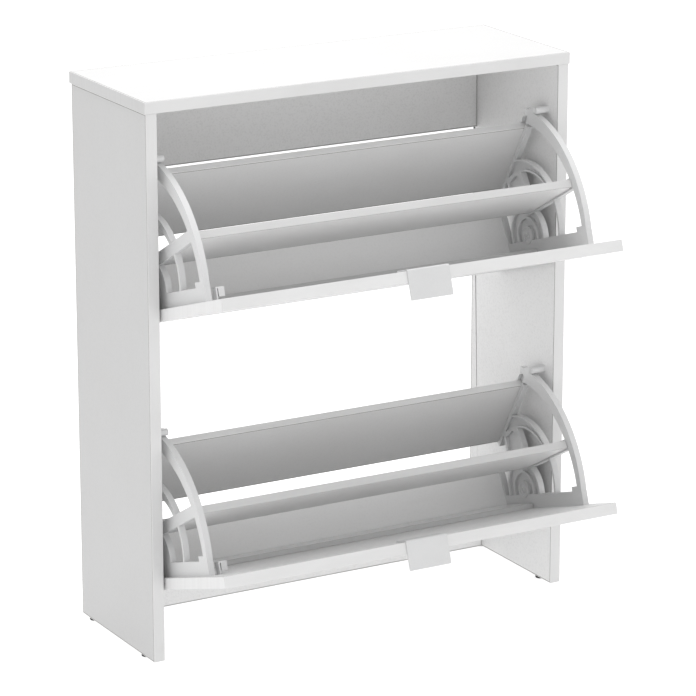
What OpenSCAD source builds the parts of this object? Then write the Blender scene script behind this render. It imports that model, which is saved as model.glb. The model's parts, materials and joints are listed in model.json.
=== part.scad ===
// Shoe cabinet with two drop-down flaps, both standing open on their stops.
// Origin: floor level, middle of the side panels' footprint. The front faces -Y, +Z is up.
//
// Each flap is drawn in its own frame, the one it has when it is shut: the hinge axis is the
// X axis, +Y points into the cabinet and +Z points up the door. flap_frame() then swings it open.

/* [Carcass] */
// Outer width across both side panels
carcass_width = 730; // [620:1:900]
// Depth of the side panels
carcass_depth = 250; // [250:1:300]
// Height of the side panels, without the glides
side_height = 850; // [845:1:950]
// Thickness of the side panels, top and doors
board_thickness = 18; // [17:0.5:19]
// Overhang of the top at each side
top_side_overhang = 2; // [0:0.5:6]
// Overhang of the top at the front
top_front_overhang = 1; // [0:0.5:6]
// Overhang of the top at the rear
top_rear_overhang = 4; // [0:0.5:8]

/* [Rails] */
// Height of the rail under the top
upper_rail_height = 144.5; // [110:0.5:150]
// Thickness of the rail under the top
upper_rail_thickness = 12; // [10:0.5:16]
// Height of the rail near the floor
lower_rail_height = 100; // [80:1:110]
// Thickness of the rail near the floor
lower_rail_thickness = 18; // [16:0.5:19]
// Distance of the lower rail's front face from the front of the side panels
lower_rail_setback = 209; // [209:1:225]

/* [Glides] */
// Height of a glide below its panel
glide_height = 5; // [3:0.5:8]
// Diameter of a glide
glide_diameter = 14.5; // [8:0.5:16]
// Distance of a glide from the nearer edge of its panel
glide_inset = [45, 24]; // [15:1:60]

/* [Hinges] */
// Height of each hinge axis above the bottom of the side panels, lower flap first
hinge_height = [148.4, 569.7]; // [140:0.1:600]
// Distance of the hinge axes from the front of the side panels
hinge_setback = 48; // [46:0.5:50]
// Angle that a flap turns through from shut to its stop
open_angle = 72; // [60:0.1:75]
// Radius of a pivot pin
pin_radius = 5; // [4:0.1:6]
// Radial running clearance of a pivot pin in its bracket
pin_clearance = 0.05; // [0.02:0.01:0.1]

/* [Stop pegs] */
// Place of a stop peg in the frame of the open flap, [into the cabinet, up the door]
peg_place = [188.9, 81.4]; // [60:0.1:200]
// Radius of a stop peg
peg_radius = 5.3; // [4:0.1:6]
// Length of a stop peg out of its panel
peg_length = 24; // [20:0.5:26]
// Gap between a hook and its stop peg when the flap stands open
hook_gap = 0.3; // [0.1:0.1:1]

/* [Doors] */
// Gap between a door and each side panel
door_side_gap = 3.5; // [2:0.5:5]
// Length of a door above its hinge axis
door_above_hinge = 240; // [200:1:241]
// Length of a door below its hinge axis
door_below_hinge = 135; // [110:1:136]
// Distance from the hinge axis to the inner face of the door
hinge_standoff = 30; // [28:0.5:32]

/* [Boards in the flaps] */
// Thickness of the shelf between the two rows
shelf_thickness = 12; // [10:0.5:14]
// Depth of the shelf between the two rows
shelf_depth = 141; // [120:1:141]
// Thickness of the sloping back board
back_thickness = 12; // [10:0.5:16]
// Width of the sloping back board
back_width = 131; // [100:1:131]
// Thickness of the board at the bottom of the front row
bottom_thickness = 12; // [10:0.5:14]
// Thickness of the strip on the door
strip_thickness = 8; // [5:0.5:10]

/* [Brackets] */
// Gap between a bracket and its side panel
bracket_gap = 12.4; // [10:0.1:14]
// Thickness of a bracket, across the cabinet
bracket_thickness = 9.8; // [8:0.1:12]
// Thickness of the web behind a channel
web_thickness = 3; // [2:0.1:4]
// Width of the rims beside a channel
rim_width = 3; // [2:0.1:4]
// Height of the arm that lies on the door
arm_height = 22; // [18:0.5:26]

/* [Bumpers] */
// Size of the bumper clip on the door: across, off the door, along the door
bumper_size = [14, 19, 12]; // [8:0.5:20]
// Thickness of the clip's leg and cap
bumper_wall = 2.4; // [2:0.1:4]

/* [Handles] */
// Width of a handle
handle_width = 72; // [40:1:160]
// Sheet thickness of a handle
handle_thickness = 2.5; // [1.5:0.1:4]
// Distance that a handle stands out past the door's outer face
handle_reach = 26; // [15:1:35]
// Length of the handle's leg on the door's inner face
handle_leg = 28; // [20:1:40]

/* [Hidden] */
$fn = 64;

LEVELS = ["lower", "upper"];

BOARD_WHITE = [0.93, 0.93, 0.92];
PLASTIC_WHITE = [0.86, 0.87, 0.88];
STEEL = [0.72, 0.73, 0.75];
BLACK = [0.05, 0.05, 0.05];
BEECH = [0.78, 0.62, 0.42];

// Small allowances: slip is left round a piece in its own bore, and cut runs a cutter past a face
slip = 0.05;
cut = 1;

// Carcass
front_y = -carcass_depth / 2;
rear_y = carcass_depth / 2;
inner_x = carcass_width / 2 - board_thickness;
side_top_z = glide_height + side_height;

// Dowels: [radius, length]
board_dowel = [4, 30];
rail_dowel = [3, 24];
top_dowel_y = [front_y + 40, front_y + 120];
// How deep the dowels sit in the boards that they are pressed into
side_dowel_depth = 20;
upper_rail_dowel_depth = 14;
lower_rail_dowel_depth = 19;
upper_rail_dowel_z = [side_top_z - 30, side_top_z - 115];

// Cam fittings: the lock sits cam_setback from the joint, and the bolt runs across the joint
cam_radius = 7.5;
cam_depth = 12.5;
cam_setback = 34;
bolt_bore_radius = 4;
bolt_thread_radius = 2.5;
bolt_thread_length = 11;
bolt_head_radius = 3.2;
bolt_axis_depth = board_thickness / 2 - 0.5;
top_cam_y = front_y + 205;
lower_cam_z = [glide_height + 25, glide_height + 78];
lower_dowel_z = glide_height + 52;
lower_rail_y = front_y + lower_rail_setback;

// Pins, pegs and glides
stem_length = 11;
stem_step = 1;
nail_radius = 1.2;
nail_length = 12;
collar_radius = 10;

// Flaps
door_half_width = inner_x - door_side_gap;
bracket_outer_x = inner_x - bracket_gap;
bracket_inner_x = bracket_outer_x - bracket_thickness;
channel_floor_x = bracket_outer_x - web_thickness;
// The boards stop just short of the channel floors, and between the brackets at the notches
board_end_x = channel_floor_x - 0.3;
notch_end_x = bracket_inner_x - 0.5;
channel_slip = 0.2;

// Outer arc of a bracket. The circle of its inner edge is off centre, so the band widens upwards
arc_centre = [12.3, -24.5];
arc_radius = 199;
arc_inner_centre = [4.1, -20.6];
arc_inner_radius = 182.5;
arc_end_angle = 21.5;
arc_foot_angle = 106;
// Inner arc of a bracket, wide where it meets the back board and thin at the door
rib_centre = [19.5, -2.8];
rib_radius = 101.5;
rib_inner_centre = [16.1, 10.1];
rib_inner_radius = 84.5;
rib_end_angle = -24;
rib_channel_angles = [-18, 62];
// Round plate about the hinge, with its raised rings as [outer, inner] radii
hub_radius = 48;
hub_recess = 5;
hub_rings = [[44, 31], [27, 15]];

// Shelf: rear edge of its underside and the angle of its run
shelf_origin = [34.4, 15.3];
shelf_angle = 78.8;
shelf_tenon_front = 133;
// Back board: lower edge of its front face and the angle of its run
back_origin = [80.3, -57.4];
back_angle = 48.3;
back_spoke_width = 7;
// Bottom board: where its upper face meets the door, its length, and its run, square to the shelf
bottom_origin = [-hinge_standoff, -58.3];
bottom_length = 84;
bottom_angle = shelf_angle - 90;
// Strip on the door, from the bottom board up
strip_bottom_w = -61;
strip_top_w = 23;
// Spoke from the hub plate to the inner arc
hub_spoke = [[28, -34], [92, -37], [106, -12], [102, 8], [70, 18], [28, 20]];
hub_spoke_hollow = [[50, -28], [86, -31], [96, -10], [93, 4], [68, 11], [50, 12]];

// Arm on the door
arm_top_w = 174;
arm_bottom_w = -109;
arm_floor = 5;
// Boss in the corner between the arm and the outer arc
boss_outline = [[-9, 146], [0, 146], [0, 172], [-9, 172]];
// Bumper clip on the door beside the left bracket
bumper_gap = 8;
bumper_w = 162;
bumper_slot = 1.5;
bumper_lift = 4.5;

// Screws: places along the door, head and shank
bracket_screw_w = [128, 70, -100];
screw_head_radius = 3.6;
screw_head_height = 2.4;
screw_shank_radius = 1.75;
screw_bite = 12;
handle_screw_x = [-22, 22];
handle_screw_drop = 16;

// Frames ---------------------------------------------------------------

// Puts a flap's own frame at its hinge, swung open onto its stop
module flap_frame(level)
    translate([0, front_y + hinge_setback, glide_height + hinge_height[level]])
        rotate([open_angle, 0, 0])
            children();

// Draws a right-hand piece on the right, or its mirror image on the left
module on_side(side)
    mirror([side == "left" ? 1 : 0, 0, 0])
        children();

// Extrudes an outline of the (Y, Z) plane along X, from x0
module along_x(x0, length)
    translate([x0, 0, 0])
        rotate([90, 0, 90])
            linear_extrude(length)
                children();

// Cylinder along +X from x0
module rod_x(x0, length, radius)
    translate([x0, 0, 0])
        rotate([0, 90, 0])
            cylinder(h = length, r = radius);

// Carcass boards -------------------------------------------------------

// Bores in a right-hand side panel for the pins, pegs, dowels, cam fittings and glides
module side_panel_bores() {
    for (level = [0, 1]) {
        flap_frame(level)
            rod_x(inner_x - cut, stem_length + slip + cut, pin_radius + slip);
        flap_frame(level)
            translate([0, peg_place[0], peg_place[1]])
                rod_x(inner_x - cut, stem_length + slip + cut, peg_radius - stem_step + slip);
    }
    for (y = top_dowel_y)
        translate([inner_x + board_thickness / 2, y, side_top_z - side_dowel_depth])
            cylinder(h = side_dowel_depth + cut, r = board_dowel[0] + slip);
    for (z = upper_rail_dowel_z)
        translate([0, rear_y - upper_rail_thickness / 2, z])
            rod_x(inner_x - cut, rail_dowel[1] - upper_rail_dowel_depth + cut, rail_dowel[0] + slip);
    translate([0, lower_rail_y + lower_rail_thickness / 2, lower_dowel_z])
        rod_x(inner_x - cut, board_dowel[1] - lower_rail_dowel_depth + cut, board_dowel[0] + slip);
    for (z = lower_cam_z)
        translate([0, lower_rail_y + lower_rail_thickness / 2, z])
            rod_x(inner_x - cut, bolt_thread_length + cut, bolt_thread_radius + slip);
    translate([inner_x + board_thickness / 2, top_cam_y, side_top_z - cam_setback])
        cylinder(h = cam_setback + cut, r = bolt_bore_radius);
    translate([0, top_cam_y, side_top_z - cam_setback])
        rod_x(inner_x - cut, cam_depth + 1.5 + cut, cam_radius + slip);
    for (place = glide_places())
        translate([inner_x + board_thickness / 2, place, glide_height - cut])
            cylinder(h = nail_length + cut, r = nail_radius + slip);
}

function glide_places() = [front_y + glide_inset[0], rear_y - glide_inset[1]];

module side_panel(side)
    color(BOARD_WHITE)
        on_side(side)
            difference() {
                translate([inner_x, front_y, glide_height])
                    cube([board_thickness, carcass_depth, side_height]);
                side_panel_bores();
            }

module top_panel() {
    size_x = carcass_width + 2 * top_side_overhang;
    size_y = carcass_depth + top_front_overhang + top_rear_overhang;
    color(BOARD_WHITE)
        difference() {
            translate([-size_x / 2, front_y - top_front_overhang, side_top_z])
                cube([size_x, size_y, board_thickness]);
            for (side = ["left", "right"], y = top_dowel_y)
                on_side(side)
                    translate([inner_x + board_thickness / 2, y, side_top_z - cut])
                        cylinder(h = board_dowel[1] - side_dowel_depth + slip + cut, r = board_dowel[0] + slip);
            for (side = ["left", "right"])
                on_side(side)
                    translate([inner_x + board_thickness / 2, top_cam_y, side_top_z - cut])
                        cylinder(h = bolt_thread_length + slip + cut, r = bolt_thread_radius + slip);
        }
}

module upper_back_rail()
    color(BOARD_WHITE)
        difference() {
            translate([-inner_x, rear_y - upper_rail_thickness, side_top_z - upper_rail_height])
                cube([2 * inner_x, upper_rail_thickness, upper_rail_height]);
            for (side = ["left", "right"], z = upper_rail_dowel_z)
                on_side(side)
                    translate([0, rear_y - upper_rail_thickness / 2, z])
                        rod_x(
                            inner_x - upper_rail_dowel_depth - slip,
                            upper_rail_dowel_depth + slip + cut,
                            rail_dowel[0] + slip
                        );
        }

module lower_back_rail() {
    middle_y = lower_rail_y + lower_rail_thickness / 2;
    color(BOARD_WHITE)
        difference() {
            translate([-inner_x, lower_rail_y, glide_height])
                cube([2 * inner_x, lower_rail_thickness, lower_rail_height]);
            for (side = ["left", "right"])
                on_side(side)
                    translate([0, middle_y, lower_dowel_z])
                        rod_x(
                            inner_x - lower_rail_dowel_depth - slip,
                            lower_rail_dowel_depth + slip + cut,
                            board_dowel[0] + slip
                        );
            for (side = ["left", "right"], z = lower_cam_z)
                on_side(side) {
                    translate([0, middle_y, z])
                        rod_x(inner_x - cam_setback, cam_setback + cut, bolt_bore_radius);
                    translate([inner_x - cam_setback, middle_y + lower_rail_thickness / 2 + cut, z])
                        rotate([90, 0, 0])
                            cylinder(h = cam_depth + 1.5 + cut, r = cam_radius + slip);
                }
        }
}

// Fittings of the carcass ----------------------------------------------

module dowel(size)
    cylinder(h = size[1], r = size[0]);

module dowels()
    color(BEECH)
        for (side = ["left", "right"])
            on_side(side) {
                for (y = top_dowel_y)
                    translate([inner_x + board_thickness / 2, y, side_top_z - side_dowel_depth])
                        dowel(board_dowel);
                for (z = upper_rail_dowel_z)
                    translate([inner_x - upper_rail_dowel_depth, rear_y - upper_rail_thickness / 2, z])
                        rotate([0, 90, 0])
                            dowel(rail_dowel);
                translate([inner_x - lower_rail_dowel_depth, lower_rail_y + lower_rail_thickness / 2, lower_dowel_z])
                    rotate([0, 90, 0])
                        dowel(board_dowel);
            }

// Cam lock about Z, its face at z = 0 and its body below. The bolt enters it from +X
module cam_lock()
    difference() {
        translate([0, 0, -cam_depth])
            cylinder(h = cam_depth, r = cam_radius);
        translate([0, 0, -bolt_axis_depth])
            rod_x(-3.6, cam_radius + 3.6 + cut, bolt_head_radius + 0.3);
        for (turn = [0, 90])
            rotate([0, 0, turn])
                translate([-4.5, -0.7, -1.6])
                    cube([9, 1.4, 1.6 + cut]);
    }

// Cam bolt along +X: stepped head at the origin, threaded end across the joint
module cam_bolt() {
    rod_x(-3, 6, bolt_head_radius);
    rod_x(3, cam_setback - 6, 2);
    rod_x(cam_setback - 3, 3, bolt_head_radius);
    rod_x(cam_setback, bolt_thread_length, bolt_thread_radius);
}

// Places the children at each cam fitting: the lock's face looks along the children's +Z,
// and the joint lies along their +X
module at_cams()
    for (side = ["left", "right"])
        on_side(side) {
            translate([inner_x + 0.5, top_cam_y, side_top_z - cam_setback])
                rotate([0, -90, 0])
                    children();
            for (z = lower_cam_z)
                translate([inner_x - cam_setback, lower_rail_y + lower_rail_thickness - 0.5, z])
                    rotate([-90, 0, 0])
                        children();
        }

module cam_locks()
    color(STEEL)
        at_cams()
            cam_lock();

module cam_bolts()
    color(STEEL)
        at_cams()
            translate([0, 0, -bolt_axis_depth])
                cam_bolt();

// Caps over the two locks that face into the cabinet
module cam_covers()
    color(PLASTIC_WHITE)
        for (side = ["left", "right"])
            on_side(side)
                translate([0, top_cam_y, side_top_z - cam_setback])
                    rod_x(inner_x - 0.8, 0.8, cam_radius + 1.5);

module glide(side, place)
    color(BLACK)
        on_side(side)
            translate([inner_x + board_thickness / 2, glide_places()[place], 0]) {
                cylinder(h = 1.5, r1 = glide_diameter / 2 - 1.5, r2 = glide_diameter / 2);
                translate([0, 0, 1.5])
                    cylinder(h = glide_height - 1.5, r = glide_diameter / 2);
                translate([0, 0, glide_height])
                    cylinder(h = nail_length, r = nail_radius);
            }

// Pivot pin: stem in the panel, collar across the gap and pin through the bracket
module pivot_pin(level, side)
    color(PLASTIC_WHITE)
        on_side(side)
            flap_frame(level) {
                rod_x(inner_x, stem_length, pin_radius);
                rod_x(bracket_outer_x + 0.3, bracket_gap - 0.3, collar_radius);
                rod_x(bracket_inner_x - 2, bracket_thickness + 2.3, pin_radius);
            }

// Stop peg: stem in the panel and a plain round peg that the hook of a bracket meets
module stop_peg(level, side)
    color(PLASTIC_WHITE)
        on_side(side)
            flap_frame(level)
                translate([0, peg_place[0], peg_place[1]]) {
                    rod_x(inner_x, stem_length, peg_radius - stem_step);
                    rod_x(inner_x - peg_length, peg_length, peg_radius);
                }

// Flap boards ----------------------------------------------------------

// Screw with its head above z = 0 and its shank below, length counted from under the head
module screw(length) {
    cylinder(h = screw_head_height, r = screw_head_radius);
    translate([0, 0, -length])
        cylinder(h = length, r = screw_shank_radius);
}

// Places the children at each bracket screw of a flap, their +Z pointing off the door
module at_bracket_screws()
    for (side = ["left", "right"], w = bracket_screw_w)
        on_side(side)
            translate([bracket_outer_x - bracket_thickness / 2, -hinge_standoff, w])
                rotate([-90, 0, 0])
                    children();

// Places the children at each handle screw of a flap, their +Z pointing off the door
module at_handle_screws()
    for (x = handle_screw_x)
        translate([x, -hinge_standoff, door_above_hinge - handle_screw_drop])
            rotate([-90, 0, 0])
                children();

module pilot_bore()
    translate([0, 0, -screw_bite - slip])
        cylinder(h = screw_bite + slip + cut, r = screw_shank_radius + slip);

module door(level)
    color(BOARD_WHITE)
        flap_frame(level)
            difference() {
                translate([-door_half_width, -hinge_standoff - board_thickness, -door_below_hinge])
                    cube([2 * door_half_width, board_thickness, door_above_hinge + door_below_hinge]);
                at_bracket_screws()
                    pilot_bore();
                at_handle_screws()
                    pilot_bore();
            }

// Board of a flap drawn as an outline of the (Y, Z) plane. Its ends run into the brackets'
// channels, and the part past the channels' mouths stops between the brackets.
module flap_board(level)
    color(BOARD_WHITE)
        flap_frame(level) {
            along_x(-board_end_x, 2 * board_end_x)
                children(0);
            if ($children > 1)
                along_x(-notch_end_x, 2 * notch_end_x)
                    children(1);
        }

module shelf_outline(from, to)
    translate(shelf_origin)
        rotate(shelf_angle)
            translate([from, -shelf_thickness])
                square([to - from, shelf_thickness]);

module shelf(level)
    flap_board(level) {
        shelf_outline(0, shelf_tenon_front);
        shelf_outline(0, shelf_depth);
    }

module back_outline()
    translate(back_origin)
        rotate(back_angle)
            translate([0, -back_thickness])
                square([back_width, back_thickness]);

module back_board(level)
    flap_board(level)
        back_outline();

// Outline along the bottom board, grown by the given width beyond both faces and its end
module bottom_plan(grow)
    intersection() {
        translate(bottom_origin)
            rotate(bottom_angle)
                translate([-20, -bottom_thickness - grow])
                    square([bottom_length + 20 + grow, bottom_thickness + 2 * grow]);
        translate([-hinge_standoff, -200])
            square([200, 400]);
    }

module bottom_board(level)
    flap_board(level)
        bottom_plan(0);

module door_strip(level)
    color(BOARD_WHITE)
        flap_frame(level)
            difference() {
                translate([-notch_end_x, -hinge_standoff, strip_bottom_w])
                    cube([2 * notch_end_x, strip_thickness, strip_top_w - strip_bottom_w]);
                along_x(-inner_x, 2 * inner_x)
                    bottom_plan(0);
            }

// Brackets -------------------------------------------------------------

function polar(centre, radius, angle) = centre + radius * [cos(angle), sin(angle)];

// Wedge about a centre, from angle a to angle b
module sector(centre, a, b)
    polygon(concat([centre], [for (i = [0:6]) polar(centre, 260, a + (b - a) * i / 6)]));

module disc(centre, radius)
    translate(centre)
        circle(radius, $fn = 128);

module outer_arc()
    intersection() {
        difference() {
            disc(arc_centre, arc_radius);
            disc(arc_inner_centre, arc_inner_radius);
        }
        sector(arc_centre, arc_end_angle, arc_foot_angle);
    }

// Lobe at the upper end of the outer arc, which meets the stop peg with its straight flank
module hook() {
    peg_offset = peg_place - arc_centre;
    peg_reach = norm(peg_offset);
    flank = atan2(peg_offset[1], peg_offset[0]) - asin((peg_radius + hook_gap) / peg_reach);
    polygon([
        polar(arc_centre, 182, flank + 1),
        polar(arc_centre, 198.5, flank + 1),
        polar(arc_centre, 199, flank),
        polar(arc_centre, 206, flank),
        polar(arc_centre, 208, flank - 0.6),
        polar(arc_centre, 204, flank - 3),
        polar(arc_centre, 196, flank - 6.2),
        polar(arc_centre, 187.5, flank - 7.8),
        polar(arc_centre, 172, flank - 12.3),
        polar(arc_centre, 169, flank - 11.5)
    ]);
}

module rib_arc()
    intersection() {
        difference() {
            disc(rib_centre, rib_radius);
            disc(rib_inner_centre, rib_inner_radius);
        }
        sector(rib_centre, rib_end_angle, 120);
    }

module rib_arc_channel()
    intersection() {
        difference() {
            disc(rib_centre, rib_radius - rim_width);
            disc(rib_inner_centre, rib_inner_radius + rim_width);
        }
        sector(rib_centre, rib_channel_angles[0], rib_channel_angles[1]);
    }

// Outline along the shelf, grown by the given width beyond both faces and its rear edge
module shelf_holder(grow, front)
    translate(shelf_origin)
        rotate(shelf_angle)
            translate([-grow, -shelf_thickness - grow])
                square([front + grow, shelf_thickness + 2 * grow]);

// Walls before and behind the back board; the front one runs up into the outer arc
module back_holder()
    translate(back_origin)
        rotate(back_angle) {
            translate([-rim_width, -back_thickness - rim_width])
                square([back_width + rim_width - 6, back_thickness + 2 * rim_width]);
            translate([-rim_width, 0])
                square([back_width + rim_width + 6, back_spoke_width]);
        }

module back_channel()
    translate(back_origin)
        rotate(back_angle)
            translate([-channel_slip, -back_thickness - channel_slip])
                square([back_width + 20, back_thickness + 2 * channel_slip]);

module arm()
    translate([-hinge_standoff, bottom_origin[1] - bottom_thickness])
        square([arm_height, arm_top_w - bottom_origin[1] + bottom_thickness]);

module arm_tab()
    translate([-hinge_standoff, arm_bottom_w])
        square([arm_floor, 40]);

module bracket_outline()
    intersection() {
        union() {
            outer_arc();
            rib_arc();
            disc([0, 0], hub_radius);
            intersection() {
                shelf_holder(rim_width, shelf_depth + 20);
                disc(arc_centre, arc_radius - 3);
            }
            back_holder();
            bottom_plan(rim_width);
            polygon(hub_spoke);
            polygon(boss_outline);
            arm();
            arm_tab();
        }
        translate([-hinge_standoff, -200])
            square([300, 500]);
    }

module bracket_channels() {
    shelf_holder(channel_slip, shelf_tenon_front + channel_slip);
    back_channel();
    bottom_plan(channel_slip);
}

// Hollows of the hub plate, kept off the shelf's and the bottom board's channels
module hub_hollows()
    difference() {
        for (ring = hub_rings)
            difference() {
                disc([0, 0], ring[0]);
                disc([0, 0], ring[1]);
            }
        shelf_holder(rim_width, shelf_depth);
        arm();
        bottom_plan(rim_width);
    }

// Bracket of the right-hand side, in the flap's frame
module bracket_body()
    difference() {
        union() {
            along_x(bracket_inner_x, bracket_thickness)
                bracket_outline();
            along_x(bracket_inner_x, bracket_thickness)
                hook();
        }
        along_x(bracket_inner_x - cut, bracket_thickness - web_thickness + cut)
            bracket_channels();
        along_x(bracket_inner_x - cut, hub_recess + cut)
            hub_hollows();
        along_x(bracket_inner_x - cut, hub_recess + cut)
            difference() {
                union() {
                    rib_arc_channel();
                    polygon(hub_spoke_hollow);
                }
                shelf_holder(rim_width, shelf_depth);
                back_holder();
            }
        rod_x(bracket_inner_x - cut, bracket_thickness + 2 * cut, pin_radius + pin_clearance);
        for (w = bracket_screw_w)
            translate([bracket_outer_x - bracket_thickness / 2, -hinge_standoff - cut, w])
                rotate([-90, 0, 0]) {
                    cylinder(h = arm_height + 2 * cut, r = screw_shank_radius + 0.2);
                    translate([0, 0, arm_floor + cut])
                        cylinder(h = arm_height, r = screw_head_radius + 0.4);
                }
    }

module bracket(level, side)
    color(PLASTIC_WHITE)
        flap_frame(level)
            on_side(side)
                bracket_body();

// Clip on the door: a leg, a cap and a hanging block, drawn as an outline of the (X, Y) plane
module bumper(level)
    color(PLASTIC_WHITE)
        flap_frame(level)
            translate([-bracket_inner_x + bumper_gap, -hinge_standoff, bumper_w])
                linear_extrude(bumper_size[2]) {
                    square([bumper_wall, bumper_size[1]]);
                    translate([0, bumper_size[1] - bumper_wall])
                        square([bumper_size[0], bumper_wall]);
                    translate([bumper_wall + bumper_slot, bumper_lift])
                        square([
                            bumper_size[0] - bumper_wall - bumper_slot,
                            bumper_size[1] - bumper_lift
                        ]);
                }

module bracket_screws(level)
    color(STEEL)
        flap_frame(level)
            at_bracket_screws()
                translate([0, 0, arm_floor])
                    screw(arm_floor + screw_bite);

// Handles --------------------------------------------------------------

// Plate over the door's top edge, with a leg on the inner face and a lip past the outer face
module handle(level) {
    plate_depth = board_thickness + handle_thickness + handle_reach;
    color(PLASTIC_WHITE)
        flap_frame(level)
            difference() {
                union() {
                    translate([
                        -handle_width / 2,
                        handle_thickness - hinge_standoff - plate_depth,
                        door_above_hinge
                    ])
                        cube([handle_width, plate_depth, handle_thickness]);
                    translate([-handle_width / 2, -hinge_standoff, door_above_hinge - handle_leg])
                        cube([handle_width, handle_thickness, handle_leg + handle_thickness]);
                }
                at_handle_screws() {
                    translate([0, 0, -cut])
                        cylinder(h = 10, r = screw_shank_radius + 0.2);
                    translate([0, 0, 1])
                        cylinder(h = handle_thickness, r = screw_head_radius + 0.2);
                }
            }
}

module handle_screws(level)
    color(STEEL)
        flap_frame(level)
            at_handle_screws()
                translate([0, 0, 1]) {
                    cylinder(h = handle_thickness - 0.7, r = screw_head_radius);
                    translate([0, 0, -screw_bite - 1])
                        cylinder(h = screw_bite + 1, r = screw_shank_radius);
                }

// Parts ----------------------------------------------------------------

side_panel("left");  // left_side_panel
side_panel("right");  // right_side_panel
top_panel();
upper_back_rail();
lower_back_rail();
glide("left", 0);  // front_left_glide
glide("right", 0);  // front_right_glide
glide("left", 1);  // rear_left_glide
glide("right", 1);  // rear_right_glide
cam_locks();
cam_bolts();
cam_covers();
dowels();
for (level = [0, 1]) {
    pivot_pin(level, "left");
    pivot_pin(level, "right");
    stop_peg(level, "left");
    stop_peg(level, "right");
    door(level);
    back_board(level);
    shelf(level);
    bottom_board(level);
    door_strip(level);
    bracket(level, "left");
    bracket(level, "right");
    bumper(level);
    handle(level);
    handle_screws(level);
    bracket_screws(level);
}
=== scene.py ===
import json
import math

import bmesh
import bpy
from mathutils import Matrix, Vector


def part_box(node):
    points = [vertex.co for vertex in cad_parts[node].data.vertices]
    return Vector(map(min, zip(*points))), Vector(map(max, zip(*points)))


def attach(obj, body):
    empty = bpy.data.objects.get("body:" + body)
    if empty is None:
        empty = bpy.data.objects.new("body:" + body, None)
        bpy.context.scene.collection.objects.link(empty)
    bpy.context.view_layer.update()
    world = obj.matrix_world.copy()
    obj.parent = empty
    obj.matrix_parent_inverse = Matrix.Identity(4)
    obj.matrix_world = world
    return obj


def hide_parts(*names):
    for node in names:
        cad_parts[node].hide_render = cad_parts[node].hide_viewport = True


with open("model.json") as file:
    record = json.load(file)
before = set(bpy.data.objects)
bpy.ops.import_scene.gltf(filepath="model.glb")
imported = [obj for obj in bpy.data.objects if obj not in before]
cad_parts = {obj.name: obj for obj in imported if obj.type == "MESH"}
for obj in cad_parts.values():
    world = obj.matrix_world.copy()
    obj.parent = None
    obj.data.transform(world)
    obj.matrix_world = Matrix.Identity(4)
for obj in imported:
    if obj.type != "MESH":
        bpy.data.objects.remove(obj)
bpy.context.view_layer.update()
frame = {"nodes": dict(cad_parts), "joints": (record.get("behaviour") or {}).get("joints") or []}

MM = 0.001
LEVELS = ("lower", "upper")
SIDES = ("left", "right")
UP = Vector((0, 0, 1))

# Camera: a long lens from the front left and above. Its place is in metres
CAMERA_PLACE = (-2.6661, -4.7685, 2.0144)
CAMERA_TURN_DEG = 29.61
CAMERA_DIP_DEG = 16.29
CAMERA_LENS_MM = 188.6
SENSOR_MM = 36.0
CLIP_START = 0.1
CLIP_END = 100.0

# The floor is lit from within, like a light table, and the sky is an even white dome
FLOOR_SIZE = 60.0
FLOOR_GLOW = 0.74
SKY_STRENGTH = 0.84


# Frames ---------------------------------------------------------------------

def flap_to_world(body):
    """Matrix from a flap's shut frame (X across, Y into the cabinet, Z up the door) to its open place."""
    joint = next(j for j in frame["joints"] if j["child"] == body)
    swing = math.radians(joint["range_deg"][1])
    return Matrix.Translation(joint["pos_m"]) @ Matrix.Rotation(swing, 4, "X")


def off_door(body):
    """The direction square to a flap's door and away from its outer face, with the flap open."""
    return flap_to_world(body).to_3x3() @ Vector((0, 1, 0))


def local_box(node, matrix):
    """Lowest and highest corners of a CAD node in the frame that the matrix comes from."""
    back = matrix.inverted()
    points = [back @ v.co for v in frame["nodes"][node].data.vertices]
    low = Vector(min(p[i] for p in points) for i in range(3))
    high = Vector(max(p[i] for p in points) for i in range(3))
    return low, high


def span(points, direction):
    """How far points reach along a direction: the lowest and the highest."""
    reach = [point.dot(direction) for point in points]
    return min(reach), max(reach)


def across(direction):
    """Two unit vectors square to a direction."""
    first = direction.orthogonal().normalized()
    return first, direction.cross(first).normalized()


# Materials ------------------------------------------------------------------

# Sockets of a Mix node that mixes colours
MIX_FACTOR, MIX_A, MIX_B = 0, 6, 7
MIX_RESULT = 2


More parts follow.
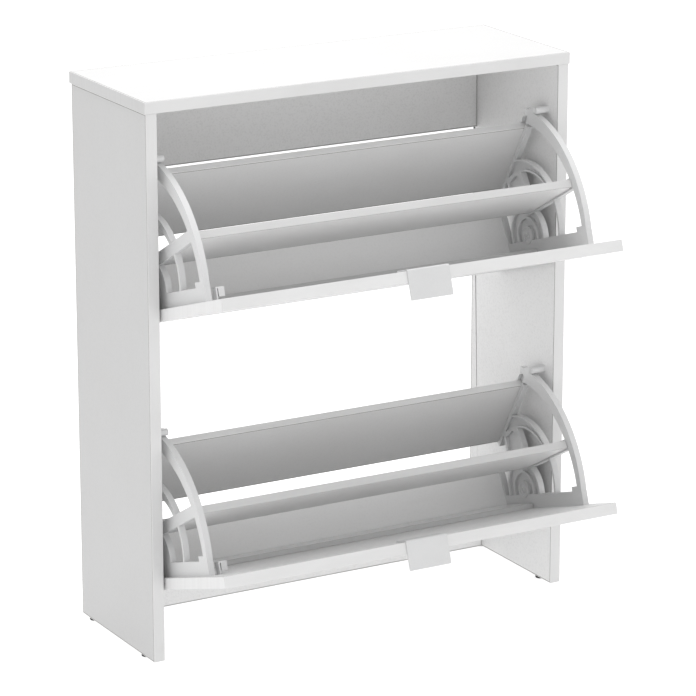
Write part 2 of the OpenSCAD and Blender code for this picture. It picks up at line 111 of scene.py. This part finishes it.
class Shader:
    """A Principled material that is built up from procedural textures in object space."""

    def __init__(self, name, roughness, metallic=0.0, specular=0.5):
        self.material = bpy.data.materials.new(name)
        self.material.use_nodes = True
        self.tree = self.material.node_tree
        self.bsdf = self.tree.nodes["Principled BSDF"]
        self.bsdf.inputs["Roughness"].default_value = roughness
        self.bsdf.inputs["Metallic"].default_value = metallic
        self.bsdf.inputs["Specular IOR Level"].default_value = specular
        self.place = self.tree.nodes.new("ShaderNodeTexCoord").outputs["Object"]

    def link(self, source, target):
        self.tree.links.new(source, target)

    def feed(self, socket, value):
        """Links a socket to another one, or sets its constant."""
        if isinstance(value, bpy.types.NodeSocket):
            self.link(value, socket)
        else:
            socket.default_value = value

    def stretched(self, scale):
        """Object coordinates, scaled by a factor along each axis."""
        mapping = self.tree.nodes.new("ShaderNodeMapping")
        mapping.inputs["Scale"].default_value = scale
        self.link(self.place, mapping.inputs["Vector"])
        return mapping.outputs["Vector"]

    def noise(self, scale, detail=3.0, roughness=0.5, stretch=None):
        """Soft noise, about as many blotches to the metre as the scale says."""
        texture = self.tree.nodes.new("ShaderNodeTexNoise")
        texture.inputs["Scale"].default_value = scale
        texture.inputs["Detail"].default_value = detail
        texture.inputs["Roughness"].default_value = roughness
        self.link(self.stretched(stretch) if stretch else self.place, texture.inputs["Vector"])
        return texture.outputs["Fac"]

    def cells(self, scale, output="Distance"):
        """Cells, about as many to the metre as the scale says."""
        texture = self.tree.nodes.new("ShaderNodeTexVoronoi")
        texture.inputs["Scale"].default_value = scale
        self.link(self.place, texture.inputs["Vector"])
        return texture.outputs[output]

    def ramp(self, value, stops):
        """Stops are (position, colour or grey level)."""
        node = self.tree.nodes.new("ShaderNodeValToRGB")
        elements = node.color_ramp.elements
        while len(elements) < len(stops):
            elements.new(0.5)
        for element, (position, colour) in zip(elements, stops):
            element.position = position
            element.color = rgba(colour)
        self.link(value, node.inputs["Fac"])
        return node.outputs["Color"]

    def mask(self, value, start, full, strength):
        """Black up to the start, rising to a grey of the given strength where the value is full."""
        return self.ramp(value, [(start, 0.0), (full, strength)])

    def mix(self, factor, a, b, kind="MIX"):
        """Colour a, changed by colour b as far as the factor says."""
        node = self.tree.nodes.new("ShaderNodeMix")
        node.data_type = "RGBA"
        node.blend_type = kind
        self.feed(node.inputs[MIX_FACTOR], factor)
        self.feed(node.inputs[MIX_A], a)
        self.feed(node.inputs[MIX_B], b)
        return node.outputs[MIX_RESULT]

    def colour(self, value):
        self.link(value, self.bsdf.inputs["Base Color"])

    def rough(self, value, low, high):
        """Roughness that follows a value between two limits."""
        node = self.tree.nodes.new("ShaderNodeMapRange")
        node.inputs["To Min"].default_value = low
        node.inputs["To Max"].default_value = high
        self.link(value, node.inputs["Value"])
        self.link(node.outputs["Result"], self.bsdf.inputs["Roughness"])

    def bump(self, layers):
        """Layers are (height, strength, distance in metres), the broadest first."""
        normal = None
        for height, strength, distance in layers:
            node = self.tree.nodes.new("ShaderNodeBump")
            node.inputs["Strength"].default_value = strength
            node.inputs["Distance"].default_value = distance
            self.link(height, node.inputs["Height"])
            if normal is not None:
                self.link(normal, node.inputs["Normal"])
            normal = node.outputs["Normal"]
        self.link(normal, self.bsdf.inputs["Normal"])


def rgba(colour):
    """An opaque colour, from a grey level or from red, green and blue."""
    return (colour, colour, colour, 1.0) if isinstance(colour, float) else (*colour, 1.0)


def tint(white, warmth=0.0):
    """A near-white, a little warmer or cooler."""
    return (white * (1 + warmth), white, white * (1 - warmth))


def melamine(name, white, fleck=0.965):
    """White melamine: pearl-embossed, faintly mottled and flecked, with dull smudges from handling."""
    shader = Shader(name, 0.42, specular=0.45)
    mottle = shader.ramp(shader.noise(5.0, 4.0), [(0.3, tint(white * 0.975, 0.004)), (0.7, tint(white))])
    flecks = shader.ramp(shader.noise(330.0, 5.0, 0.7), [(0.38, fleck), (0.5, 0.995), (0.66, 1.0)])
    pearl = shader.noise(620.0, 2.0, 0.6)
    smudge = shader.noise(9.0, 6.0, 0.62, (1.0, 1.6, 0.7))
    scuff = shader.noise(40.0, 2.0, 0.4, (0.12, 1.0, 1.0))
    clean = shader.mix(1.0, mottle, flecks, "MULTIPLY")
    scuffed = rgba(tint(white * 0.93, 0.006))
    shader.colour(shader.mix(shader.mask(scuff, 0.70, 0.78, 0.35), clean, scuffed))
    shader.rough(smudge, 0.34, 0.52)
    shader.bump([(smudge, 0.08, 0.4 * MM), (pearl, 0.16, 0.25 * MM)])
    return shader.material


def edge_band(name, white):
    """Plastic edging: smoother than the boards, with fine drawn lines and a few rubbed spots."""
    shader = Shader(name, 0.36, specular=0.5)
    mottle = shader.ramp(shader.noise(14.0, 3.0), [(0.3, tint(white * 0.98, 0.003)), (0.7, tint(white))])
    drawn = shader.ramp(shader.noise(160.0, 2.0, 0.5, (0.05, 1.0, 0.05)), [(0.35, 0.965), (0.6, 1.0)])
    rub = shader.noise(60.0, 5.0, 0.7)
    clean = shader.mix(1.0, mottle, drawn, "MULTIPLY")
    shader.colour(shader.mix(shader.mask(rub, 0.68, 0.76, 0.4), clean, rgba(tint(white * 0.94))))
    shader.rough(rub, 0.28, 0.46)
    shader.bump([(shader.noise(420.0, 2.0), 0.08, 0.2 * MM)])
    return shader.material


def glue_line_painted_shade():
    """The thin line between a board's face and its edging, with grime, darkened further to paint the shade
    in the seams.
    """
    shader = Shader("glue_line_painted_shade", 0.7, specular=0.2)
    grime_and_seam_shade = shader.noise(35.0, 5.0, 0.65)
    shader.colour(shader.ramp(grime_and_seam_shade, [(0.3, (0.22, 0.215, 0.205)), (0.7, (0.36, 0.355, 0.345))]))
    shader.bump([(shader.noise(900.0, 2.0), 0.2, 0.2 * MM)])
    return shader.material


def chipboard():
    """Raw chipboard, where a board isn't coated: pressed chips of several tans."""
    shader = Shader("chipboard", 0.85, specular=0.15)
    tans = [(0.2, (0.42, 0.29, 0.17)), (0.5, (0.58, 0.43, 0.27)), (0.8, (0.70, 0.56, 0.38))]
    chips = shader.ramp(shader.cells(420.0, "Color"), tans)
    dust = shader.ramp(shader.noise(900.0), tans)
    shader.colour(shader.mix(0.35, chips, dust))
    shader.bump([(shader.cells(420.0), 0.5, 0.6 * MM), (shader.noise(1500.0), 0.3, 0.3 * MM)])
    return shader.material


def moulded_white(name, white):
    """White moulded plastic with a spark-eroded grain and faint flow marks."""
    shader = Shader(name, 0.44, specular=0.5)
    flow = shader.noise(16.0, 5.0, 0.6, (1.0, 0.5, 1.4))
    grain = shader.noise(1100.0, 3.0, 0.7)
    dust = shader.noise(70.0, 6.0, 0.7)
    marbled = shader.ramp(flow, [(0.28, tint(white * 0.955, -0.004)), (0.72, tint(white, -0.002))])
    pitted = shader.ramp(grain, [(0.36, 0.95), (0.55, 1.0)])
    clean = shader.mix(1.0, marbled, pitted, "MULTIPLY")
    dusty = rgba(tint(white * 0.92, 0.008))
    shader.colour(shader.mix(shader.mask(dust, 0.64, 0.76, 0.5), clean, dusty))
    shader.rough(dust, 0.36, 0.54)
    shader.bump([(flow, 0.05, 0.6 * MM), (grain, 0.22, 0.2 * MM)])
    return shader.material


def moulded_black():
    """Black polymer of the glides, greyed by floor dust and scuffs."""
    shader = Shader("black_glide", 0.5, specular=0.25)
    dust = shader.noise(240.0, 6.0, 0.7)
    shader.colour(shader.ramp(dust, [(0.45, (0.012, 0.012, 0.013)), (0.8, (0.060, 0.058, 0.056))]))
    shader.rough(dust, 0.38, 0.7)
    shader.bump([(shader.noise(1400.0), 0.25, 0.2 * MM)])
    return shader.material


def zinc():
    """Bright zinc plate: crystalline patches under fine turning marks."""
    shader = Shader("zinc_plate", 0.32, metallic=1.0)
    greys = [(0.2, (0.56, 0.57, 0.60)), (0.8, (0.72, 0.73, 0.74))]
    patches = shader.ramp(shader.cells(600.0, "Color"), greys)
    tarnish = shader.mask(shader.noise(150.0, 5.0, 0.7), 0.55, 0.75, 0.6)
    shader.colour(shader.mix(tarnish, patches, rgba((0.42, 0.41, 0.38))))
    shader.rough(shader.noise(400.0, 4.0), 0.24, 0.46)
    shader.bump([(shader.noise(2400.0, 2.0, 0.5, (0.1, 1.0, 1.0)), 0.2, 0.1 * MM)])
    return shader.material


def beech():
    """Bare beech with short dark rays along the grain."""
    shader = Shader("beech", 0.65, specular=0.3)
    grain = shader.noise(260.0, 5.0, 0.6, (0.12, 1.0, 1.0))
    rays = shader.noise(900.0, 2.0, 0.5, (0.2, 1.0, 1.0))
    tans = [(0.3, (0.52, 0.35, 0.21)), (0.6, (0.70, 0.52, 0.33)), (0.8, (0.76, 0.60, 0.41))]
    dark = rgba((0.40, 0.25, 0.14))
    shader.colour(shader.mix(shader.mask(rays, 0.62, 0.7, 0.6), shader.ramp(grain, tans), dark))
    shader.bump([(grain, 0.3, 0.4 * MM), (rays, 0.2, 0.2 * MM)])
    return shader.material


def pale_floor():
    """A matt floor that glows evenly, so that shadows on it stay faint."""
    shader = Shader("pale_floor", 0.7, specular=0.1)
    shader.bsdf.inputs["Emission Color"].default_value = rgba(1.0)
    shader.bsdf.inputs["Emission Strength"].default_value = FLOOR_GLOW
    shader.colour(shader.ramp(shader.noise(1.5, 3.0), [(0.3, 0.49), (0.7, 0.51)]))
    shader.bump([(shader.noise(60.0), 0.02, 0.5 * MM)])
    return shader.material


# Coats and bands of the boards, by where they lie: copies of one white melamine and one edging, each made
# whiter or greyer to paint the light and shade where it lies. The number says how white each one is
# Painted shade: the outer faces are made greyer than the other copies, for the shade on the cabinet's sides
FACE = melamine("outer_melamine_painted_shade", 0.55)
TOP_FACE = melamine("top_melamine", 0.67)
# Painted light: the inner faces are made whiter than the outer ones, for the light that falls inside the
# cabinet
INNER_FACE_PAINTED_LIGHT = melamine("inner_melamine_painted_light", 0.79, 0.92)
# Painted light: the flap's shelves, bottom boards and strips are made as white as the inner faces, for the
# light inside the flaps
FLAP_FACE_PAINTED_LIGHT = melamine("flap_melamine_painted_light", 0.79)
DOOR_FACE = melamine("door_melamine", 0.66)
BACK_FACE = melamine("back_board_melamine", 0.69)
BAND = edge_band("white_edge_band", 0.67)
# Painted shade: the top's end bands, which face sideways, are made as grey as the outer side faces
END_BAND = edge_band("end_edge_band_painted_shade", 0.56)
DOOR_BAND = edge_band("door_edge_band", 0.70)
# Painted light: the door's end bands, which face sideways, are made whiter than its other bands
DOOR_END_BAND_PAINTED_LIGHT = edge_band("door_end_band_painted_light", 0.75)
SHELF_BAND = edge_band("shelf_edge_band", 0.60)
GLUE = glue_line_painted_shade()
CORE = chipboard()

# Finishes of the other pieces: a material and the record's slot for it
WHITE = (moulded_white("white_moulding", 0.67), "white_plastic")
HANDLE_WHITE = (moulded_white("handle_white", 0.64), "white_plastic")
BLACK = (moulded_black(), "black_plastic")
STEEL = (zinc(), "zinc_steel")
WOOD = (beech(), "beech")


# Mesh helpers ---------------------------------------------------------------

MERGE_GAP = 0.001 * MM      # points nearer to each other than this are one corner
FLAT_DEG = 0.2              # faces that turn less than this from each other are joined into one
ROUNDED_DEG = 30.0          # edges that turn more than this are rounded
SHARP_DEG = 38.0            # edges that still turn more than this are shaded sharp


def cleaned(node):
    """A CAD node's mesh with its flat faces whole, to be worked up into a detailed piece."""
    bm = bmesh.new()
    bm.from_mesh(frame["nodes"][node].data)
    bmesh.ops.remove_doubles(bm, verts=bm.verts, dist=MERGE_GAP)
    bmesh.ops.dissolve_limit(bm, angle_limit=math.radians(FLAT_DEG), verts=bm.verts, edges=bm.edges)
    bm.normal_update()
    return bm


def bevelled(bm, edges, width, segments):
    """Rounds edges and returns the new faces."""
    return bmesh.ops.bevel(
        bm, geom=edges, offset=width, offset_type="OFFSET", segments=segments,
        profile=0.5, affect="EDGES", clamp_overlap=True,
    )["faces"]


def soften(bm, width, shortest, segments=2):
    """Rounds the sharp edges that are longer than the shortest, and returns the new faces."""
    sharp = [
        e for e in bm.edges
        if e.calc_length() > shortest and e.calc_face_angle(0.0) > math.radians(ROUNDED_DEG)
    ]
    faces = bevelled(bm, sharp, width, segments)
    bm.normal_update()
    return faces


def finished(bm, name, body, materials, node):
    """Turns the mesh into an object that rides on a body and stands for a CAD node."""
    mesh = bpy.data.meshes.new(name)
    bmesh.ops.recalc_face_normals(bm, faces=bm.faces)
    bm.to_mesh(mesh)
    bm.free()
    for material in materials:
        mesh.materials.append(material)
    mesh.shade_smooth()
    mesh.set_sharp_from_angle(angle=math.radians(SHARP_DEG))
    piece = bpy.data.objects.new(name, mesh)
    bpy.context.scene.collection.objects.link(piece)
    normals = piece.modifiers.new("even_normals", "WEIGHTED_NORMAL")
    normals.keep_sharp = True
    normals.mode = "FACE_AREA"
    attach(piece, body)
    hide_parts(node)
    return piece


def lathe(bm, profile, start, direction, sides, wave=None):
    """Turns a profile of (distance along, radius), in millimetres, about a direction.
    Radius 0 closes an end. The wave gives a factor of the radius for each angle."""
    direction = direction.normalized()
    side, up = across(direction)
    rings = []
    for along, radius in profile:
        middle = start + direction * along * MM
        if radius <= 0:
            rings.append([bm.verts.new(middle)])
            continue
        ring = []
        for i in range(sides):
            angle = math.tau * i / sides
            reach = radius * MM * (wave(angle) if wave else 1.0)
            ring.append(bm.verts.new(middle + (side * math.cos(angle) + up * math.sin(angle)) * reach))
        rings.append(ring)
    for a, b in zip(rings, rings[1:]):
        for i in range(sides):
            j = (i + 1) % sides
            if len(a) == 1 and len(b) > 1:
                bm.faces.new((a[0], b[i], b[j]))
            elif len(b) == 1 and len(a) > 1:
                bm.faces.new((a[i], b[0], a[j]))
            elif len(a) > 1:
                bm.faces.new((a[i], b[i], b[j], a[j]))


def islands(node):
    """The corner points of each separate solid of a CAD node."""
    bm = cleaned(node)
    left = set(bm.verts)
    found = []
    while left:
        stack = [left.pop()]
        part = []
        while stack:
            vert = stack.pop()
            part.append(vert.co.copy())
            for edge in vert.link_edges:
                other = edge.other_vert(vert)
                if other in left:
                    left.remove(other)
                    stack.append(other)
        found.append(part)
    bm.free()
    return found


def spine(points, direction):
    """Start point on the axis, length and greatest radius of a turned solid that lies along a direction."""
    direction = direction.normalized()
    side, up = across(direction)
    start, end = span(points, direction)
    left, right = span(points, side)
    low, high = span(points, up)
    middle = side * (left + right) / 2 + up * (low + high) / 2
    return direction * start + middle, end - start, (right - left) / 2


# Boards ---------------------------------------------------------------------

BOARD_ROUNDING = 0.7 * MM
SHORTEST_BOARD_EDGE = 8 * MM    # shorter edges, such as those round the bores, stay sharp
BAND_PROUD = 0.45 * MM          # how much of the band's thickness shows beside its rounded corner
GLUE_WIDTH = 0.5 * MM
GLUE_DEPTH = 0.12 * MM
RIM_DEPTH = 9 * MM              # a face that is further in than this lies in a bore, not on the rim
FLAT_WAY = 0.9999               # cosine between a board's thickness and the normals of its two faces
SAME_WAY = 0.999                # between two directions that agree, as slivers in the bores may too
NEAR_WAY = 0.9                  # and between two that roughly agree

# A board's materials, by their place in its list
COATED, BANDED, GLUED, BARE, INNER_COATED_PAINTED_LIGHT, END_BANDED = range(6)


def plate_axes(bm):
    """A board's thickness direction, and the two directions along it."""
    area = {}
    for face in bm.faces:
        normal = face.normal if max(face.normal, key=abs) > 0 else -face.normal
        key = tuple(round(c, 3) for c in normal)
        area[key] = area.get(key, 0.0) + face.calc_area()
    thick = Vector(max(area, key=area.get)).normalized()
    along = Vector((0, 1, 0)) if abs(thick.x) > NEAR_WAY else Vector((1, 0, 0))
    return thick, along, thick.cross(along).normalized()


def board(node, body, coat, band, end_band, inward=None):
    """A coated board: banded, rounded edges with a glue line, and bare chipboard in its bores.
    The side that looks inward, if one is named, has the inner coat, a whiter copy that paints the light
    inside the cabinet."""
    bm = cleaned(node)
    thick, *plane = plate_axes(bm)
    corners = [v.co for v in bm.verts]
    rims = [(way, end) for way in plane for end in span(corners, way)]

    def on_rim(face):
        middle = face.calc_center_median()
        return any(
            abs(face.normal.dot(way)) > NEAR_WAY and abs(middle.dot(way) - end) < RIM_DEPTH
            for way, end in rims
        )

    for face in bm.faces:
        if abs(face.normal.dot(thick)) > SAME_WAY:
            face.material_index = COATED
        elif not on_rim(face):
            face.material_index = BARE
        # Faces square to X, the ends, take the end band: painted shade on the top's ends, painted light on
        # the door's ends
        elif abs(face.normal.x) > NEAR_WAY:
            face.material_index = END_BANDED
        else:
            face.material_index = BANDED
    for face in soften(bm, BOARD_ROUNDING, SHORTEST_BOARD_EDGE, segments=3):
        face.material_index = BANDED
    faces = [f for f in bm.faces if f.material_index == COATED and abs(f.normal.dot(thick)) > FLAT_WAY]
    # The glue rings are dark grey: partly glue and grime, partly painted shade in the seams
    rings = ((BAND_PROUD, 0, BANDED), (GLUE_WIDTH, -GLUE_DEPTH, GLUED), (GLUE_WIDTH, GLUE_DEPTH, GLUED))
    for width, depth, index in rings:
        ring = bmesh.ops.inset_region(bm, faces=faces, thickness=width, depth=depth, use_even_offset=True)
        for face in ring["faces"]:
            face.material_index = index
    # Faces that look inward take the inner coat, a whiter copy: painted light
    for face in faces:
        if inward and face.normal.dot(Vector(inward)) > SAME_WAY:
            face.material_index = INNER_COATED_PAINTED_LIGHT
    materials = (coat, band, GLUE, CORE, INNER_FACE_PAINTED_LIGHT, end_band)
    finished(bm, node + "_panel", body, materials, node)


def boards():
    board("left_side_panel", "carcass", FACE, BAND, BAND, inward=(1, 0, 0))
    board("right_side_panel", "carcass", FACE, BAND, BAND, inward=(-1, 0, 0))
    board("top_panel", "carcass", TOP_FACE, BAND, END_BAND, inward=(0, 0, -1))
    board("upper_back_rail", "carcass", FACE, BAND, BAND, inward=(0, -1, 0))
    board("lower_back_rail", "carcass", FACE, BAND, BAND, inward=(0, -1, 0))
    for level in LEVELS:
        body = level + "_flap"
        board(level + "_door", body, DOOR_FACE, DOOR_BAND, DOOR_END_BAND_PAINTED_LIGHT, inward=off_door(body))
        board(level + "_back_board", body, BACK_FACE, DOOR_BAND, DOOR_BAND)
        for part in ("_shelf", "_bottom_board", "_door_strip"):
            # The flap's boards take the whiter copy: painted light
            board(level + part, body, FLAP_FACE_PAINTED_LIGHT, SHELF_BAND, SHELF_BAND)


# Brackets and other mouldings -------------------------------------------------

BRACKET_ROUNDING = 0.55 * MM
SHORTEST_BRACKET_EDGE = 1.2 * MM
LIP_SIDES = 64

# Closed outline of the lip round a hub: (distance off the bracket's face, radius) in millimetres
HUB_LIP = [(-0.6, 13.4), (0.9, 13.4), (1.3, 13.0), (1.3, 11.4), (0.9, 11.0), (-0.6, 11.0), (-0.6, 13.4)]


def moulding(node, body, finish, rounding, shortest):
    """A moulded or cast piece: the CAD shape with its sharp edges rounded."""
    material, slot = finish
    bm = cleaned(node)
    soften(bm, rounding, shortest)
    finished(bm, node + "_body", body, (material,), node)


def bracket(level, side):
    """A flap bracket, with its sharp edges rounded and a lip round its hub."""
    node = f"{level}_{side}_bracket"
    body = level + "_flap"
    material, slot = WHITE
    bm = cleaned(node)
    soften(bm, BRACKET_ROUNDING, SHORTEST_BRACKET_EDGE)
    low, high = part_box(node)
    inner_x, inward = (high.x, 1) if side == "left" else (low.x, -1)
    hub = flap_to_world(body) @ Vector((inner_x, 0, 0))
    lathe(bm, HUB_LIP, hub, Vector((inward, 0, 0)), LIP_SIDES)
    finished(bm, node + "_moulding", body, (material,), node)


def brackets():
    for level in LEVELS:
        for side in SIDES:
            bracket(level, side)
        moulding(level + "_bumper", level + "_flap", WHITE, 0.35 * MM, 1.2 * MM)


# Turned fittings --------------------------------------------------------------
#
# A profile gives points of (distance along, radius) for a piece of a given length and greatest radius.
# All of these are in millimetres.

PLAIN_SIDES = 48
SCREW_SIDES = 32
DOWEL_FLUTES = 12
DOWEL_SIDES = 8 * DOWEL_FLUTES
FLUTE_DEPTH = 0.06              # as a part of the dowel's radius


def fitting(node, body, profile, finish, direction, name, sides=PLAIN_SIDES, wave=None):
    """Turned pieces in the place of every solid of a node. The direction is a vector, or a function
    that gives one for the middle of a solid."""
    material, slot = finish
    bm = bmesh.new()
    for points in islands(node):
        middle = sum(points, Vector()) / len(points)
        way = direction(middle) if callable(direction) else direction
        start, length, radius = spine(points, way)
        lathe(bm, profile(length / MM, radius / MM), start, way, sides, wave)
    finished(bm, name, body, (material,), node)


def repeated(shape, start, pitch, count):
    """A short stretch of profile, repeated: ribs, barbs or a thread."""
    return [(start + pitch * i + along, radius) for i in range(count) for along, radius in shape]


def pin_profile(length, collar):
    """Pivot pin from the panel inwards: ribbed stem, waisted collar, bearing and snap head."""
    stem = 11.0
    bearing = 5.0
    waist = 7.6
    end = stem + 12.1
    ribs = repeated([(0, bearing - 0.6), (0.5, bearing), (1.1, bearing)], 1.6, 2.3, 4)
    return (
        [(0, 0), (0, 3.6), (0.8, 4.3)] + ribs
        + [(stem, 4.4), (stem, collar), (stem + 1.6, collar), (stem + 2.0, collar - 0.4),
           (stem + 2.4, waist), (end - 2.4, waist), (end - 2.0, collar - 0.4), (end - 1.6, collar),
           (end - 0.3, collar), (end, collar - 0.4), (end, bearing), (length - 1.9, bearing),
           (length - 0.7, 4.6), (length, 3.4), (length, 2.3), (length - 1.6, 2.0), (length - 1.6, 0)]
    )


def peg_profile(length, radius):
    """Stop peg from the panel inwards: ribbed stem, small flange, plain barrel with a dished tip."""
    stem = 11.0
    ribs = repeated([(0, radius - 1.7), (0.5, radius - 1.05), (1.1, radius - 1.05)], 1.4, 2.4, 4)
    return (
        [(0, 0), (0, 3.0), (0.8, 3.6)] + ribs
        + [(stem, radius - 1.2), (stem, radius + 1.3), (stem + 1.0, radius + 1.3),
           (stem + 1.5, radius + 0.8), (stem + 1.7, radius), (length - 0.7, radius),
           (length - 0.2, radius - 0.3), (length, radius - 0.9), (length, radius - 1.6),
           (length - 0.5, radius - 2.0), (length - 0.5, 0)]
    )


def glide_profile(length, radius):
    """Glide from the floor up: flat foot with a rounded rim and a groove, and barbed nail."""
    nail = 1.2
    foot = length - 12.0
    barbs = repeated([(0, nail * 0.82), (0.4, nail), (1.2, nail * 0.86)], foot + 1.5, 1.8, 5)
    return (
        [(0, 0), (0, radius - 0.9), (0.1, radius - 0.5), (0.4, radius - 0.2), (0.9, radius), (2.9, radius),
         (3.1, radius - 0.3), (3.4, radius - 0.3), (3.6, radius), (foot - 0.3, radius),
         (foot, radius - 0.3), (foot, nail)]
        + barbs + [(length - 1.4, nail * 0.8), (length, 0)]
    )


def cap_profile(length, radius):
    """Press-on cap from the panel inwards: thin, slightly domed, with a rolled rim."""
    return [
        (0, 0), (0, radius - 0.2), (length * 0.35, radius), (length * 0.7, radius - 0.15),
        (length, radius - 0.9), (length * 0.82, radius - 1.6), (length * 0.9, radius * 0.45), (length, 0),
    ]


def bolt_profile(length, radius):
    """Cam bolt from its head: double-coned head, waisted shank, collar and coarse thread."""
    core = 1.9
    crest = 2.5
    shank_end = length - 11.0
    thread = repeated([(0, core), (0.7, crest), (1.0, crest)], shank_end + 0.4, 1.7, 6)
    return (
        [(0, 0), (0, radius - 1.0), (0.9, radius), (2.2, radius), (3.6, 1.9), (6.0, 1.7),
         (shank_end - 3.2, 1.9), (shank_end - 3.0, radius), (shank_end - 0.4, radius),
         (shank_end, radius - 0.4)]
        + thread + [(length - 0.2, core), (length, 0)]
    )


def dowel_profile(length, radius):
    """Dowel with chamfered ends."""
    chamfer = 1.1
    return [
        (0, 0), (0, radius - chamfer), (chamfer, radius),
        (length - chamfer, radius), (length, radius - chamfer), (length, 0),
    ]


def screw_profile(length, radius):
    """Screw from its tip: point, thread, and a rounded head with a drive recess."""
    head = length - 2.4
    core = 1.2
    crest = 1.72
    pitch = 1.5
    turns = int((head - 3.0) / pitch)
    thread = repeated([(0, core), (0.6, crest), (0.8, crest)], 2.0, pitch, turns)
    return (
        [(0, 0), (1.6, core * 0.8)] + thread
        + [(head, crest), (head, radius), (head + 0.5, radius), (length - 0.7, radius * 0.82),
           (length - 0.15, radius * 0.55), (length, radius * 0.46), (length, radius * 0.38),
           (length - 1.1, radius * 0.22), (length - 1.2, 0)]
    )


def flute(angle):
    """Radius factor of the pressed grooves round a dowel."""
    return 1.0 - FLUTE_DEPTH * max(0.0, math.cos(DOWEL_FLUTES * angle))


def towards_middle(point):
    return Vector((-1 if point.x > 0 else 1, 0, 0))


def away_from_middle(point):
    return -towards_middle(point)


def bolt_way(point):
    """The bolts as high as the upper rail stand up into the top panel, and the others lie across."""
    return UP if point.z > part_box("upper_back_rail")[0].z else away_from_middle(point)


def dowel_way(point):
    """The dowels in front of the lower rail stand up into the top panel, and the others lie across."""
    return UP if point.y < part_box("lower_back_rail")[0].y else away_from_middle(point)


def screws(node, body):
    """Screws that are driven towards a flap's door."""
    fitting(node, body, screw_profile, STEEL, off_door(body), node + "_threaded", SCREW_SIDES)


def fittings():
    for level in LEVELS:
        for side in SIDES:
            pin = f"{level}_{side}_pivot_pin"
            peg = f"{level}_{side}_stop_peg"
            fitting(pin, "carcass", pin_profile, WHITE, towards_middle, pin + "_turned")
            fitting(peg, "carcass", peg_profile, WHITE, towards_middle, peg + "_turned")
        screws(level + "_bracket_screws", level + "_flap")
    for end in ("front", "rear"):
        for side in SIDES:
            glide = f"{end}_{side}_glide"
            fitting(glide, "carcass", glide_profile, BLACK, UP, glide + "_foot")
    fitting("cam_covers", "carcass", cap_profile, WHITE, towards_middle, "cam_cover_caps")
    fitting("cam_bolts", "carcass", bolt_profile, STEEL, bolt_way, "cam_bolts_threaded", SCREW_SIDES)
    fitting("dowels", "carcass", dowel_profile, WOOD, dowel_way, "dowels_fluted", DOWEL_SIDES, flute)
    moulding("cam_locks", "carcass", STEEL, 0.25 * MM, 1.0 * MM)


# Handles ----------------------------------------------------------------------

HANDLE_BEND = 0.3 * MM          # radius inside the plate's bend
HANDLE_CORNER = 0.4 * MM        # cut off the corners of its front edge
HANDLE_ROUNDING = 0.35 * MM
HANDLE_RIM_DEG = 60.0           # edges that turn more than this are rounded


def arc_points(centre, radius, start, end, steps=6):
    """Points on an arc of the (Y, Z) plane, angles in degrees."""
    turns = [math.radians(start + (end - start) * i / steps) for i in range(steps + 1)]
    return [(centre[0] + radius * math.cos(t), centre[1] + radius * math.sin(t)) for t in turns]


def handle(level):
    """A bent plate over the door's edge, with rounded bends and softened sides, and its screws."""
    node = level + "_handle"
    body = level + "_flap"
    material, slot = HANDLE_WHITE
    place = flap_to_world(body)
    low, high = local_box(node, place)
    sheet = high.z - local_box(level + "_door", place)[1].z
    back = high.y - sheet
    outer = sheet + HANDLE_BEND
    lip = sheet / 2
    outline = (
        [(back, low.z + HANDLE_CORNER), (back + HANDLE_CORNER, low.z),
         (high.y - HANDLE_CORNER, low.z), (high.y, low.z + HANDLE_CORNER)]
        + arc_points((high.y - outer, high.z - outer), outer, 0, 90)
        + arc_points((low.y + lip, high.z - lip), lip, 90, 270)
        + arc_points((back - HANDLE_BEND, high.z - outer), HANDLE_BEND, 90, 0, 3)
    )
    bm = bmesh.new()
    ends = [[bm.verts.new(place @ Vector((x, y, z))) for y, z in outline] for x in (low.x, high.x)]
    for ring in ends:
        bm.faces.new(ring)
    for i in range(len(outline)):
        j = (i + 1) % len(outline)
        bm.faces.new((ends[0][i], ends[0][j], ends[1][j], ends[1][i]))
    bmesh.ops.recalc_face_normals(bm, faces=bm.faces)
    rims = [e for e in bm.edges if e.calc_face_angle(0.0) > math.radians(HANDLE_RIM_DEG)]
    bevelled(bm, rims, HANDLE_ROUNDING, segments=2)
    finished(bm, node + "_plate", body, (material,), node)
    screws(level + "_handle_screws", body)


# Stage, light and camera --------------------------------------------------------

def stage():
    bpy.ops.mesh.primitive_plane_add(size=FLOOR_SIZE, location=(0, 0, 0))
    floor = bpy.context.object
    floor.name = "floor"
    floor.data.materials.append(pale_floor())


def area_light(name, place, target, size, power):
    """A square lamp at a place, turned to a target."""
    data = bpy.data.lights.new(name, "AREA")
    data.shape = "SQUARE"
    data.size = size
    data.energy = power
    lamp = bpy.data.objects.new(name, data)
    lamp.location = place
    lamp.rotation_euler = (Vector(target) - Vector(place)).to_track_quat("-Z", "Y").to_euler()
    bpy.context.scene.collection.objects.link(lamp)


def lights():
    world = bpy.data.worlds.new("studio")
    world.use_nodes = True
    background = world.node_tree.nodes["Background"]
    background.inputs["Color"].default_value = rgba(1.0)
    background.inputs["Strength"].default_value = SKY_STRENGTH
    bpy.context.scene.world = world
    area_light("key", place=(-0.2, -3.6, 1.4), target=(0, 0, 0.45), size=2.6, power=11)
    area_light("overhead", place=(0, 0.35, 3.2), target=(0, 0.3, 0), size=2.0, power=50)


def camera():
    data = bpy.data.cameras.new("camera")
    data.sensor_width = SENSOR_MM
    data.lens = CAMERA_LENS_MM
    data.clip_start = CLIP_START
    data.clip_end = CLIP_END
    eye = bpy.data.objects.new("camera", data)
    eye.location = CAMERA_PLACE
    eye.rotation_euler = (math.radians(90 - CAMERA_DIP_DEG), 0.0, math.radians(-CAMERA_TURN_DEG))
    bpy.context.scene.collection.objects.link(eye)
    bpy.context.scene.camera = eye


camera()
boards()
brackets()
fittings()
for level in LEVELS:
    handle(level)
stage()
lights()
bpy.context.scene.view_settings.view_transform = "Standard"
